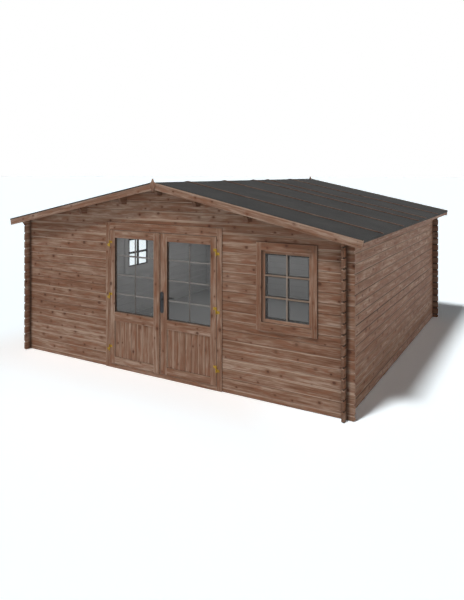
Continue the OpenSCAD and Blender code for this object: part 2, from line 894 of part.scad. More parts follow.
module window_glass() {
    w = window_clear_w - 2 * sash_w - 4 * fit + 2 * groove_d;
    h = window_clear_h - 2 * sash_w - 4 * fit + 2 * groove_d;
    translate([-w / 2, sash_recess + sash_t / 2 - pane_t / 2, (window_open_h - h) / 2])
        cube([w, pane_t, h]);
}

module front_window_place() { translate([front_window_x, -half_d, front_window_z]) children(); }

module left_window_place() {
    translate([-half_w, left_window_y, left_window_z]) rotate([0, 0, -90]) children();
}

module front_window_frame() { color(wood) front_window_place() window_frame(); }
module front_window_sash() { color(pale_wood) front_window_place() window_sash(); }
module front_window_glass() { color(glass_tint) front_window_place() window_glass(); }
module left_window_frame() { color(wood) left_window_place() window_frame(); }
module left_window_sash() { color(pale_wood) left_window_place() window_sash(); }
module left_window_glass() { color(glass_tint) left_window_place() window_glass(); }

front_wall_left();
front_wall_right();
front_gable();
left_wall();
right_wall();
rear_wall();
rear_gable();
left_wall_plate();
right_wall_plate();
ridge_purlin();
left_purlins();
right_purlins();
left_roof_deck();
right_roof_deck();
left_felt();
right_felt();
left_felt_battens();
right_felt_battens();
front_barge_boards();
rear_barge_boards();
finials();
eave_boards();
door_left_jamb();
door_right_jamb();
door_head();
door_sill();
jamb_hinges();
left_leaf_frame();
left_leaf_panel();
left_leaf_glass();
left_leaf_hinges();
left_leaf_strip();
right_leaf_frame();
right_leaf_panel();
right_leaf_glass();
right_leaf_hinges();
lock_plates();
outer_knob();
inner_lever();
front_window_frame();
front_window_sash();
front_window_glass();
left_window_frame();
left_window_sash();
left_window_glass();
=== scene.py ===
import math

import bmesh
import bpy
from mathutils import Matrix, Vector


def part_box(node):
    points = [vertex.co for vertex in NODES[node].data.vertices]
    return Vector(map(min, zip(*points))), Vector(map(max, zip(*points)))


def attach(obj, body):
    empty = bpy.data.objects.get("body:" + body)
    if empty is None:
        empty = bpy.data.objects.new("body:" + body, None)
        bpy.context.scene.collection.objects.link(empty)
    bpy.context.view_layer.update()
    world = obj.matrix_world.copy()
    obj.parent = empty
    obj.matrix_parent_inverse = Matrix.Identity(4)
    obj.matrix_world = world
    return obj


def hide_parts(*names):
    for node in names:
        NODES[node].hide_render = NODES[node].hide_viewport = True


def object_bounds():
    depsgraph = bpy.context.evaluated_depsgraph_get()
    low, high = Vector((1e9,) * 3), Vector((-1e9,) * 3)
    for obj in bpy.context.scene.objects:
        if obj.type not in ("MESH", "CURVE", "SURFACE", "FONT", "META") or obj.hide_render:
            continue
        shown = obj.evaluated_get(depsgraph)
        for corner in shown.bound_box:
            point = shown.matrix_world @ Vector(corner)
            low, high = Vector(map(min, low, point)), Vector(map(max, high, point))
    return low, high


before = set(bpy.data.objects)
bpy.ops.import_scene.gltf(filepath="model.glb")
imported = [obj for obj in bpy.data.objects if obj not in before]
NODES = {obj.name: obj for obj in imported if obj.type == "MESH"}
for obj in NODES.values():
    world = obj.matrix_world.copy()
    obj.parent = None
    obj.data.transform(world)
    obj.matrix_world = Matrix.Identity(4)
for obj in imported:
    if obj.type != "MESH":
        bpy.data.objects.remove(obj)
CAD_LOW, CAD_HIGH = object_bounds()

# Sizes of the house that the looks repeat; all lengths are in metres
COURSE = 0.114
LOG_T = 0.028
LOG_CHAMFER = 0.006
DECK_T = 0.019
GROOVE = 0.0086
ROOF_PITCH = math.radians(12)
SLOPE = math.tan(ROOF_PITCH)
WALL_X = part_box("right_wall")[1].x
INNER_FACE = WALL_X - LOG_T + LOG_CHAMFER
BARGE_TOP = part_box("front_barge_boards")[1].z

# Air between an added piece and the solid beside it
AIR = 0.0003

# Bars over the panes: width and thickness, bevel as a share of the width, columns and rows of panes
WINDOW_BAR = (0.018, 0.0135)
# BACK_BAR: nearly black bars behind the glass, painted shade in the depth of the bars
BACK_BAR = (0.036, 0.024)
DOOR_BAR = (0.021, 0.004)
BAR_BEVEL = 0.15
WINDOW_PANES = (2, 3)
DOOR_PANES = (2, 4)
DOOR_BAR_SPREAD = 0.026

# Beads round the panes, nearly black as painted shade in the reveals
BEAD_W = 0.018
DOOR_BEAD = (0.008, 0.007)
BEAD_BEVEL = 0.2

# Boards of the door panels and of the roof
PANEL_BOARDS = 7
PANEL_BEVEL = 0.0035
DECK_BOARD_W = 0.09
DECK_NOTCH = 0.004

# Felt turned down over the barge boards: thickness, drop on the left (-1) and the right (1) slope,
# and room beside the finials
LIP_T = 0.002
LIP_DROP = {-1: 0.015, 1: 0.004}
LIP_FROM_FINIAL = 0.001

# Heads of screws and nails: radius and rise, and shares of both from the rim in to the recess
SCREW = (0.0042, 0.0012)
PLATE_SCREW = (0.0045, 0.0014)
NAIL = (0.0045, 0.0012)
CLOUT = (0.0060, 0.0012)
HEAD_PROFILE = ((1.0, 0.05), (0.92, 0.6), (0.6, 0.95), (0.3, 1.0), (0.2, 0.4))
HEAD_SIDES = 10

# Places of the screws on the hinge plates and lock plates
HINGE_PLATE_T = 0.0025
HINGE_QUARTER = 0.021
SCREW_INSET = 0.014
SCREW_APART = 0.009
PLATE_END = 0.018

# Places of the nails; those of jambs, door head and window boards are shares of the board's length
BARGE_NAIL_FIRST = 0.09
BARGE_NAIL_LAST = 0.06
BARGE_NAIL_DOWN = (0.030, 0.068)
FINIAL_NAIL_DOWN = (0.022, 0.062)
CLOUT_GAP = 0.3
JAMB_NAIL_INSET = 0.014
JAMB_NAILS = (0.05, 0.28, 0.5, 0.72, 0.95)
HEAD_NAILS = (0.06, 0.28, 0.5, 0.72, 0.94)
CASING_NAILS = (-0.44, 0.0, 0.44)

# Keyholes: radius of the round, start and turn of its arc in degrees, drop of the slot, half its foot
# as a share of the radius, height over the plate's low end, and rise over the plate
KEY_R = 0.0042
KEY_ARC = (-60, 300)
KEY_SIDES = 14
KEY_DROP = 0.014
KEY_FOOT = 0.8
KEY_HEIGHT = 0.085
KEY_RISE = (0.0001, 0.0006)

# Colours of the wood, linear
WOOD_DEEP = (0.112, 0.046, 0.024, 1)
WOOD_DARK = (0.150, 0.072, 0.042, 1)
WOOD_MID = (0.208, 0.120, 0.080, 1)
WOOD_PALE = (0.310, 0.222, 0.168, 1)
WOOD_RED = (0.180, 0.074, 0.040, 1)
WOOD_TONES = ((0.33, WOOD_DEEP), (0.42, WOOD_DARK), (0.52, WOOD_MID), (0.64, WOOD_PALE))
KNOT = (0.062, 0.024, 0.013, 1)
KNOT_HALO = (0.135, 0.054, 0.029, 1)
# Dark of the joints, also used for painted shade
JOINT_AND_SHADE_DARK = (0.040, 0.022, 0.014, 1)
# Pale of worn edges, also used for painted highlights
EDGE_WEAR_AND_HIGHLIGHT = (0.390, 0.285, 0.215, 1)

# Colours that even out the grain: inside the house and on the bars, with their shares
INNER_GREY = (0.200, 0.200, 0.200, 1)
# The rear wall's inside grey is a little brighter: painted light
REAR_GREY = (0.204, 0.204, 0.204, 1)
INNER_EVEN = 0.80
WINDOW_BAR_EVEN = (0.225, 0.186, 0.156, 1)
WINDOW_LEVEL_EVEN = (0.190, 0.145, 0.111, 1)
LEVEL_BAR_EVEN = (0.146, 0.143, 0.136, 1)
UPRIGHT_BAR_EVEN = (0.064, 0.063, 0.058, 1)
BAR_EVEN = 0.85

# Grain: changes per metre along, across and into it, and detail; streaks also have a weight
SEED_SHIFT = 13.7
SEED_TONE = 0.08
STREAKS = ((1.6, 30.0, 3.0, 0.50), (5.0, 120.0, 2.0, 0.32), (14.0, 560.0, 1.0, 0.18))
STREAK_DEPTH = 0.5
STREAK_ROUGHNESS = 0.6
WAVE = (1.1, 5.0, 1.0, 1.0)
WAVE_SWING = 0.03
PATCHES = (4.0, 16.0, 6.0, 3.0)
PATCH_TONE = 0.26
BLUSH = (5.0, 24.0, 9.0, 2.0)
BLUSH_MIX = (0.50, 0.66, 0.0, 0.65)

# Knots: room for one along the grain, radius, stray in that room, share of rooms without one, length,
# ragged edge (changes per metre and depth), fading of knot and halo in radii, and strength
KNOT_ALONG = 0.27
KNOT_SMALL = 0.008
KNOT_SPREAD = 0.012
KNOT_STRAY = 0.85
KNOT_MISSING = 0.30
KNOT_LENGTH = 0.8
KNOT_RAGGED = (90.0, 0.7)
KNOT_FADE = (1.4, 0.5)
HALO_FADE = (3.2, 0.8)
KNOT_MIX = (0.0, 0.6, 0.42, 0.85)
HALO_MIX = 0.5
KNOT_PARTING = 0.6
KNOT_HOLLOW = 0.1

# Rows of logs or boards: change of seed from one to the next, pale edge that is part wear and part
# painted highlight (width, and how it comes and goes along the row), and the dark joint
ROW_SEED = 0.371
WEAR_HIGHLIGHT_WIDTH = (0.018, 0.004)
WEAR_HIGHLIGHT_CHANGE = 0.9
WEAR_HIGHLIGHT_ALONG = (0.36, 0.60, 0.45, 1.0)
WEAR_HIGHLIGHT_CHANCE = (0.25, 0.75)
JOINT_CORE = 0.27
JOINT_CHANCE = (0.9, 0.1)

# Log ends beyond the corners: where they start, their outer half, painted shade in the joints and over
# whole ends, and growth rings
TIP_START = 0.002
TIP_HALF = 0.45
END_JOINT = (0.014, 0.006)
TIP_JOINT = (0.020, 0.006)
TIP_DARKEST = 0.9
RING_BEND = 14.0
RING_RATE = 60.0
RING_COUNT = 14.0
SAWN_MIX = (0.75, 0.9, 0.0, 0.75)

# Other marks: painted shade where boards meet the logs and at the corners, pale edges of boards that
# are part wear and part painted highlight, a painted highlight on the top of the barge boards, and
# painted shade on the sides of bars and frames, at the foot of a wall and on the front sash's left
# stile
CONTACT = 0.013
CONTACT_SHADE = 0.75
CORNER_SHADE = 0.055
BOARD_WEAR_HIGHLIGHT_RADIUS = 0.007
BOARD_WEAR_HIGHLIGHT_MIX = (0.995, 0.90, 0.0, 0.6)
BARGE_TOP_HIGHLIGHT = (BARGE_TOP - 0.026, BARGE_TOP - 0.014, 0.0, 0.5)
TURNED_AWAY = (0.5, 0.3)
FOOT_SHADE_HEIGHT = 0.9
SASH_SHADE_PAST = 0.01
SASH_SHADE_DARK = 0.55

# Felt and glass
FELT_TONES = ((0.30, (0.019, 0.019, 0.019, 1)), (0.50, (0.038, 0.037, 0.036, 1)),
              (0.72, (0.074, 0.072, 0.069, 1)))
GLASS_TINT = (0.42, 0.44, 0.44, 1)
GLASS_ALPHA = 0.05

# Stage: floor colours at the house's foot, a painted shade, and beyond, light, and a camera fitted to
# the picture
WHITE = (1, 1, 1, 1)
FLOOR_HALF = 300.0
FLOOR_Z = -0.0006
FLOOR_FAR = (1.27, 1.38, 1.44, 1)
FLOOR_NEAR = (1.19, 1.185, 1.18, 1)
FLOOR_BOUNCE = (0.85, 0.85, 0.85, 1)
FLOOR_SHADE_REACH = 1.5
ROOM_Z = -0.0002
ROOM_TONES = ((0.3, (0.112, 0.112, 0.112, 1)), (0.7, (0.123, 0.123, 0.123, 1)))
GLOW_BAND = 0.26
GLOW_SIDE = (4.6, 2.7)
GLOW_LEAST = 1.6
GLOW_ABOVE = 0.04
SUN_TRAVEL = Vector((0.152, 0.536, -1.0))
SUN_STRENGTH = 2.36
SUN_ANGLE = math.radians(9.5)
ROOM_LIGHT = 64.0
ROOM_LAMP_SIZE = 3.6
ROOM_LAMP_PLACE = (-0.3, 0.4, 1.95)
CAMERA_PLACE = (4.3078, -8.0988, 2.5958)
CAMERA_YAW = math.radians(29.939)
CAMERA_LENS = 33.453
CAMERA_SENSOR = 36
CAMERA_SHIFT = -0.2119
CAMERA_FAR = 1000


class Shader:
    """A node tree; most calls add one node and return its output socket."""

    def __init__(self, tree):
        self.tree = tree

    def node(self, kind, inputs=(), **settings):
        made = self.tree.nodes.new(kind)
        for key, value in settings.items():
            setattr(made, key, value)
        for key, value in dict(inputs).items():
            self.plug(made.inputs[key], value)
        return made

    def plug(self, socket, value):
        if isinstance(value, bpy.types.NodeSocket):
            self.tree.links.new(value, socket)
        else:
            socket.default_value = value

    def math(self, operation, a, b=0.0, c=0.0):
        return self.node("ShaderNodeMath", {0: a, 1: b, 2: c}, operation=operation).outputs[0]

    def scaled(self, a, factor, offset=0.0):
        return self.math("MULTIPLY_ADD", a, factor, offset)

    def ramp(self, value, low, high, to_low=0.0, to_high=1.0):
        made = self.node("ShaderNodeMapRange", {0: value, 1: low, 2: high, 3: to_low, 4: to_high},
                         interpolation_type="SMOOTHSTEP")
        return made.outputs[0]

    def blend(self, factor, a, b):
        made = self.node("ShaderNodeMix", {0: factor, 2: a, 3: b}, data_type="FLOAT")
        return made.outputs[0]

    def mix(self, factor, a, b):
        made = self.node("ShaderNodeMix", {0: factor, 6: a, 7: b}, data_type="RGBA")
        return made.outputs[2]

    def vector(self, x, y, z):
        return self.node("ShaderNodeCombineXYZ", {0: x, 1: y, 2: z}).outputs[0]

    def split(self, vector):
        return self.node("ShaderNodeSeparateXYZ", {0: vector}).outputs[:3]

    def place(self):
        return self.node("ShaderNodeTexCoord").outputs["Object"]

    def noise(self, vector, scale=1.0, detail=2.0, roughness=0.5):
        made = self.node("ShaderNodeTexNoise", {"Vector": vector, "Scale": scale, "Detail": detail,
                                                "Roughness": roughness})
        return made.outputs[0]

    def random(self, value):
        return self.node("ShaderNodeTexWhiteNoise", {"W": value}, noise_dimensions="1D").outputs[0]

    def toned(self, colour, saturation, value, share=1.0):
        made = self.node("ShaderNodeHueSaturation", {"Saturation": saturation, "Value": value,
                                                     "Fac": share, "Color": colour})
        return made.outputs[0]

    def stops(self, value, colours):
        """A colour ramp with (place, colour) stops."""
        made = self.node("ShaderNodeValToRGB", {0: value})
        elements = made.color_ramp.elements
        while len(elements) < len(colours):
            elements.new(0.5)
        for element, (place, colour) in zip(elements, colours):
            element.position = place
            element.color = colour
        return made.outputs[0]

    def seen(self):
        """1 for rays that show the stage itself, 0 for rays that carry its light to the house."""
        rays = self.node("ShaderNodeLightPath").outputs
        return self.math("MAXIMUM", rays["Is Camera Ray"],
                         self.math("MAXIMUM", rays["Is Glossy Ray"], rays["Is Transmission Ray"]))


def wood_group():
    """Node group: grain coordinates (along, across, depth) and a seed to colour and height."""
    tree = bpy.data.node_groups.new("wood_grain", "ShaderNodeTree")
    for name, way, kind in (("Grain", "INPUT", "Vector"), ("Seed", "INPUT", "Float"),
                            ("Color", "OUTPUT", "Color"), ("Height", "OUTPUT", "Float")):
        tree.interface.new_socket(name=name, in_out=way, socket_type=f"NodeSocket{kind}")
    s = Shader(tree)
    given = s.node("NodeGroupInput").outputs
    u, v, w = s.split(given["Grain"])
    seed = given["Seed"]
    u = s.math("ADD", u, s.scaled(seed, SEED_SHIFT))

    # One knot at most in each cell of a stretched cell pattern
    cells = s.node("ShaderNodeTexVoronoi",
                   {"Vector": s.vector(s.scaled(u, 1 / KNOT_ALONG), s.scaled(v, 1 / COURSE), 0.0),
                    "Scale": 1.0, "Randomness": KNOT_STRAY}, voronoi_dimensions="2D")
    knot_u, knot_v, _ = s.split(cells.outputs["Position"])
    chance, size, shade = s.split(cells.outputs["Color"])
    du = s.math("SUBTRACT", u, s.scaled(knot_u, KNOT_ALONG))
    dv = s.math("SUBTRACT", v, s.scaled(knot_v, COURSE))
    radius = s.scaled(s.math("POWER", size, 2.0), KNOT_SPREAD, KNOT_SMALL)
    rags, rag_depth = KNOT_RAGGED
    wobble = s.noise(s.vector(s.scaled(u, rags), s.scaled(v, rags), seed), detail=1.0)
    away = s.math("SQRT", s.math("ADD", s.math("POWER", s.scaled(du, KNOT_LENGTH), 2.0),
                                 s.math("POWER", dv, 2.0)))
    away = s.math("ADD", s.math("DIVIDE", away, radius), s.scaled(wobble, rag_depth, -rag_depth / 2))
    present = s.math("GREATER_THAN", chance, KNOT_MISSING)
    knot = s.math("MULTIPLY", s.ramp(away, *KNOT_FADE), present)
    halo = s.math("MULTIPLY", s.ramp(away, *HALO_FADE), present)

    def field(along, across, depth, detail, roughness=0.5):
        place = s.vector(s.scaled(u, along), s.scaled(v, across), s.scaled(w, depth))
        return s.noise(place, detail=detail, roughness=roughness)

    # Grain that waves gently and parts round the knots
    v = s.math("ADD", v, s.scaled(field(*WAVE), WAVE_SWING))
    v = s.math("SUBTRACT", v, s.math("MULTIPLY", s.scaled(dv, KNOT_PARTING), halo))

    tone = 0.0
    for along, across, detail, weight in reversed(STREAKS):
        streaks = field(along, across, across * STREAK_DEPTH, detail, STREAK_ROUGHNESS)
        tone = s.math("ADD", s.scaled(streaks, weight), tone)
    for varied, share in ((field(*PATCHES), PATCH_TONE), (s.random(seed), SEED_TONE)):
        tone = s.math("ADD", tone, s.scaled(s.math("SUBTRACT", varied, 0.5), share))
    colour = s.stops(tone, WOOD_TONES)
    colour = s.mix(s.ramp(field(*BLUSH), *BLUSH_MIX), colour, WOOD_RED)
    colour = s.mix(s.scaled(halo, HALO_MIX), colour, KNOT_HALO)
    colour = s.mix(s.math("MULTIPLY", knot, s.ramp(shade, *KNOT_MIX)), colour, KNOT)
    height = s.math("SUBTRACT", tone, s.scaled(knot, KNOT_HOLLOW))
    s.node("NodeGroupOutput", {"Color": colour, "Height": height})
    return tree


WOOD = wood_group()


# Directions of the grain: each turns a place into grain coordinates (along, across, depth)
def grain_x(s, x, y, z):
    return x, z, y


def grain_y(s, x, y, z):
    return y, z, x


def grain_z(s, x, y, z):
    return z, x, y


def grain_slope(s, x, y, z):
    """Along a roof slope, with the height over the slope across the grain."""
    return x, s.math("ADD", z, s.scaled(s.math("ABSOLUTE", x), SLOPE)), y


def grain_battens(s, x, y, z):
    return x, y, z


def grain_framed(axis, middle, half):
    """Upright grain beyond half from the middle, level grain between."""
    def grain(s, x, y, z):
        place = (x, y)[axis]
        depth = (y, x)[axis]
        off = s.math("ABSOLUTE", s.math("SUBTRACT", place, middle))
        upright = s.math("GREATER_THAN", off, half)
        return s.blend(upright, place, z), s.blend(upright, z, place), depth
    return grain


def grain_leaf(low, high):
    """Upright grain in the stiles, level grain in the rails between low and high."""
    return grain_framed(0, (low + high) / 2, (high - low) / 2)


def bare_material(name):
    made = bpy.data.materials.new(name)
    made.use_nodes = True
    made.node_tree.nodes.clear()
    return made, Shader(made.node_tree)


def plain_material(name):
    made, s = bare_material(name)
    surface = s.node("ShaderNodeBsdfPrincipled")
    s.node("ShaderNodeOutputMaterial", {"Surface": surface.outputs[0]})
    return made, s, surface


def bumped(s, surface, height, strength, distance):
    bump = s.node("ShaderNodeBump", {"Height": height, "Strength": strength, "Distance": distance})
    s.plug(surface.inputs["Normal"], bump.outputs[0])


def near_boxes(s, across, up, boxes):
    """1 in boxes given as low and high corners and a reach, fading to 0 at that reach."""
    near = 0.0
    for (a0, b0), (a1, b1), reach in boxes:
        off = [s.math("SUBTRACT", s.math("ABSOLUTE", s.math("SUBTRACT", place, (low + high) / 2)),
                      (high - low) / 2)
               for place, low, high in ((across, a0, a1), (up, b0, b1))]
        near = s.math("MAXIMUM", near, s.ramp(s.math("MAXIMUM", *off), reach, 0.0))
    return near


def row_marks(s, colour, u, v, board, course_w, joint_w, joint_dark, wear_highlight_edges):
    """Pale edges, part wear and part painted highlight, and dark joints of a row of logs or boards, and
    the way to the next joint.
    """
    in_row = s.math("FRACT", s.scaled(v, 1 / course_w))
    edge = s.scaled(s.math("MINIMUM", in_row, s.math("SUBTRACT", 1.0, in_row)), course_w)
    along = s.noise(s.vector(s.scaled(u, WEAR_HIGHLIGHT_CHANGE), board, 0.0), detail=1.0)
    chance = s.random(s.math("ADD", board, 0.5))
    # worn: pale edge, part wear and part painted highlight
    worn = s.math("MULTIPLY", s.ramp(edge, *WEAR_HIGHLIGHT_WIDTH), s.ramp(along, *WEAR_HIGHLIGHT_ALONG))
    worn = s.math("MULTIPLY", worn, s.ramp(chance, *WEAR_HIGHLIGHT_CHANCE, 0.0, wear_highlight_edges))
    dark = s.math("MULTIPLY", s.ramp(edge, joint_w, joint_w * JOINT_CORE),
                  s.ramp(chance, *JOINT_CHANCE, joint_dark * 0.5, joint_dark))
    return s.mix(dark, s.mix(worn, colour, EDGE_WEAR_AND_HIGHLIGHT), JOINT_AND_SHADE_DARK), edge


def board_edges(s, colour):
    """Pale edges, part wear and part painted highlight, found where a rounded normal leaves the flat
    one.
    """
    rounded = s.node("ShaderNodeBevel", {"Radius": BOARD_WEAR_HIGHLIGHT_RADIUS}, samples=4).outputs[0]
    flat = s.node("ShaderNodeNewGeometry").outputs["True Normal"]
    turned = s.node("ShaderNodeVectorMath", {0: rounded, 1: flat}, operation="DOT_PRODUCT")
    return s.mix(s.ramp(turned.outputs["Value"], *BOARD_WEAR_HIGHLIGHT_MIX), colour, EDGE_WEAR_AND_HIGHLIGHT)


def sawn_ends(s, colour, v, w, facing, tone):
    """Growth rings on the faces that look along the logs."""
    bent = s.math("ADD", s.math("POWER", s.scaled(w, RING_BEND), 2.0), s.scaled(v, RING_RATE))
    rings = s.scaled(s.math("SINE", s.scaled(bent, RING_COUNT)), 0.5, 0.5)
    ends = s.mix(rings, *([c * tone for c in wood] for wood in (WOOD_DARK, WOOD_MID)))
    return s.mix(s.ramp(facing, *SAWN_MIX), colour, ends)


def wood_material(name, grain, seed, *, courses=None, course_w=COURSE, joint_w=0.0055,
                  joint_dark=0.45, wear_highlight_edges=1.0, casings=(), edges=False, face_axis=None,
                  reveal=0.9, cut_axis=None, ends_tone=1.0, ends_dark=0.0, tips_dark=0.0, shade=None,
                  top_highlight=None, even=None, foot_shade=0.0, grey=0.0, tone=1.0, inside=None):
    """Stained softwood with a direction of grain, a seed for its pattern, and these marks:

    courses: where a row of logs or boards starts, each course_w wide, with joints joint_w wide and
    joint_dark dark and with wear_highlight_edges as the strength of the pale edges, part wear and
    part painted highlight
    casings: boxes with a line of painted shade beside them, as for near_boxes
    edges: pale edges of a board, part wear and part painted highlight
    face_axis: axis that the face of a frame looks along; faces turned away take a painted shade of
    strength reveal
    cut_axis: axis along the logs, for sawn ends with the brightness ends_tone
    ends_dark: painted shade in the joints on the outer half of log ends; tips_dark: strength of painted
    shade over whole log ends
    shade: places along a wall where a shade is full and where it ends, and its darkness
    top_highlight: ramp across the grain to a painted highlight on the top edge
    even: colour that evens out the grain
    foot_shade: strength of painted shade at a wall's foot
    grey, tone: loss of saturation, and brightness
    inside: colour of the faces inside the house
    """
    made, s, surface = plain_material(name)
    coords = s.node("ShaderNodeTexCoord").outputs
    x, y, z = s.split(coords["Object"])
    u, v, w = grain(s, x, y, z)
    board = seed
    if courses is not None:
        v = s.math("SUBTRACT", v, courses)
        board = s.scaled(s.math("FLOOR", s.scaled(v, 1 / course_w)), ROW_SEED, seed)
    wood = s.node("ShaderNodeGroup", {"Grain": s.vector(u, v, w), "Seed": board}, node_tree=WOOD)
    colour = wood.outputs["Color"]
    if courses is not None:
        colour, edge = row_marks(s, colour, u, v, board, course_w, joint_w, joint_dark, wear_highlight_edges)
    if casings:
        # Painted shade beside casings and corners
        contact = s.scaled(near_boxes(s, u, z, casings), CONTACT_SHADE)
        colour = s.mix(contact, colour, JOINT_AND_SHADE_DARK)
    if edges:
        # Pale edges: part wear, part painted highlight
        colour = board_edges(s, colour)
    if face_axis is not None:
        # Painted shade on faces turned away from face_axis
        fronting = s.math("ABSOLUTE", s.split(coords["Normal"])[face_axis])
        colour = s.mix(s.ramp(fronting, *TURNED_AWAY, 0.0, reveal), colour, JOINT_AND_SHADE_DARK)
    if cut_axis is not None:
        facing = s.math("ABSOLUTE", s.split(coords["Normal"])[cut_axis])
        colour = sawn_ends(s, colour, v, w, facing, ends_tone)
    # Painted shade in the joints of log ends and over whole log ends
    if ends_dark or tips_dark:
        crossed = s.math("GREATER_THAN", s.math("ABSOLUTE", u), WALL_X + TIP_START)
    if ends_dark:
        outer = s.math("GREATER_THAN", s.math("ABSOLUTE", w), WALL_X - LOG_T * TIP_HALF)
        joint = s.ramp(edge, *END_JOINT, 0.0, ends_dark)
        dark = s.math("MULTIPLY", s.math("MULTIPLY", crossed, outer), joint)
        colour = s.mix(dark, colour, JOINT_AND_SHADE_DARK)
    if tips_dark:
        dark = s.math("MULTIPLY", crossed, s.ramp(edge, *TIP_JOINT, tips_dark, TIP_DARKEST))
        colour = s.mix(dark, colour, JOINT_AND_SHADE_DARK)
    if shade:
        full, end, darkness = shade
        place = x if face_axis == 1 else y
        colour = s.mix(s.ramp(place, end, full, 0.0, darkness), colour, JOINT_AND_SHADE_DARK)
    if top_highlight:
        # Painted highlight on the top edge
        colour = s.mix(s.ramp(v, *top_highlight), colour, EDGE_WEAR_AND_HIGHLIGHT)
    if even:
        colour = s.mix(BAR_EVEN, colour, even)
    if foot_shade:
        # Painted shade at the foot of a wall
        colour = s.mix(s.ramp(z, FOOT_SHADE_HEIGHT, 0.0, 0.0, foot_shade), colour, JOINT_AND_SHADE_DARK)
    if grey or tone != 1.0:
        # Grey and tone change faces other than sawn ends; on the rear logs, the purlins and the beads a
        # darker tone is painted shade
        face_share = s.math("LESS_THAN", facing, 0.5) if cut_axis is not None else 1.0
        colour = s.toned(colour, 1 - grey, tone, face_share)
    if inside:
        depth = s.math("MAXIMUM", s.math("ABSOLUTE", x), s.math("ABSOLUTE", y))
        inner = s.math("LESS_THAN", depth, INNER_FACE)
        faded = s.toned(colour, saturation=0.12, value=1.5)
        colour = s.mix(inner, colour, s.mix(INNER_EVEN, faded, inside))
    s.plug(surface.inputs["Base Color"], colour)
    surface.inputs["Roughness"].default_value = 0.68
    surface.inputs["Specular IOR Level"].default_value = 0.2
    bumped(s, surface, wood.outputs["Height"], strength=0.35, distance=0.004)
    return made


def felt_material():
    made, s, surface = plain_material("felt")
    place = s.place()
    grit = s.noise(place, scale=900.0, detail=2.0, roughness=0.7)
    cloud = s.noise(place, scale=2.2, detail=4.0, roughness=0.6)
    tone = s.math("ADD", s.scaled(grit, 0.7), s.scaled(cloud, 0.3))
    s.plug(surface.inputs["Base Color"], s.stops(tone, FELT_TONES))
    surface.inputs["Roughness"].default_value = 0.95
    surface.inputs["Specular IOR Level"].default_value = 0.15
    bumped(s, surface, grit, strength=0.5, distance=0.002)
    return made


def glass_material():
    made, s, surface = plain_material("glass")
    surface.inputs["Base Color"].default_value = GLASS_TINT
    surface.inputs["Alpha"].default_value = GLASS_ALPHA
    cloud = s.noise(s.place(), scale=5.0, detail=3.0)
    s.plug(surface.inputs["Roughness"], s.ramp(cloud, 0.3, 0.7, to_low=0.03, to_high=0.10))
    return made


def metal_material(name, dark, light, metallic, polished, dull):
    """Metal between a dark and a light colour, polished where it is light and dull where it is dark."""
    made, s, surface = plain_material(name)
    place = s.place()
    worn = s.noise(place, scale=60.0, detail=3.0, roughness=0.6)
    s.plug(surface.inputs["Base Color"], s.mix(s.ramp(worn, 0.35, 0.65), (*dark, 1), (*light, 1)))
    surface.inputs["Metallic"].default_value = metallic
    s.plug(surface.inputs["Roughness"], s.ramp(worn, 0.3, 0.7, to_low=dull, to_high=polished))
    bumped(s, surface, s.noise(place, scale=400.0, detail=2.0), strength=0.1, distance=0.0005)
    return made


# Places that the materials take from the solids
SIDES = ("left", "right")
leaf_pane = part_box("right_leaf_glass")
stile_in, stile_out = leaf_pane[0].x + GROOVE, leaf_pane[1].x - GROOVE
front_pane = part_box("front_window_glass")
left_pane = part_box("left_window_glass")
front_mid = (front_pane[0].x + front_pane[1].x) / 2
left_mid = (left_pane[0].y + left_pane[1].y) / 2
front_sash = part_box("front_window_sash")
sash_half = (front_sash[1].x - front_sash[0].x) / 2
pane_half = (front_pane[1].x - front_pane[0].x) / 2 - GROOVE
panel_low = {side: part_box(f"{side}_leaf_panel")[0].x + GROOVE for side in SIDES}
panel_high = {side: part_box(f"{side}_leaf_panel")[1].x - GROOVE for side in SIDES}
panel_board_w = {side: (panel_high[side] - panel_low[side]) / PANEL_BOARDS for side in SIDES}

# Boxes beside which the logs take a line of painted shade
door_boards = ((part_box("door_left_jamb")[0].x, 0.0),
               (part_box("door_right_jamb")[1].x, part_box("door_head")[1].z), CONTACT)
front_casing = (*((corner.x, corner.z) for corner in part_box("front_window_frame")), CONTACT)
left_casing = (*((corner.y, corner.z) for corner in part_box("left_window_frame")), CONTACT)
corners = [((a, 0.0), (a + LOG_T, CAD_HIGH.z), CORNER_SHADE) for a in (-WALL_X, WALL_X - LOG_T)]

# Logs; the courses of front and rear lie half a course lower than those of the sides
FRONT_LOGS = wood_material("front_logs", grain_x, 1.0, cut_axis=0, courses=-COURSE / 2,
                           casings=(door_boards, front_casing, *corners), inside=INNER_GREY)
# Rear logs: darker tone, darker sawn ends and darker tips are painted shade
REAR_LOGS = wood_material("rear_logs", grain_x, 2.0, cut_axis=0, courses=-COURSE / 2, tone=0.88,
                          ends_tone=0.8, tips_dark=0.25, inside=REAR_GREY)
# Right logs: painted shade at the foot and in the joints of the log ends
RIGHT_LOGS = wood_material("right_logs", grain_y, 3.0, cut_axis=1, courses=0.0, casings=corners,
                           joint_dark=1.0, joint_w=0.010, wear_highlight_edges=0.6, ends_dark=0.95,
                           ends_tone=0.7, foot_shade=0.16, tone=0.92, grey=-0.08, inside=INNER_GREY)
# Left logs: painted shade in the joints of the log ends and beside the window casing
LEFT_LOGS = wood_material("left_logs", grain_y, 4.0, cut_axis=1, courses=0.0, ends_dark=0.95,
                          casings=(left_casing, *corners), ends_tone=0.7, inside=INNER_GREY)

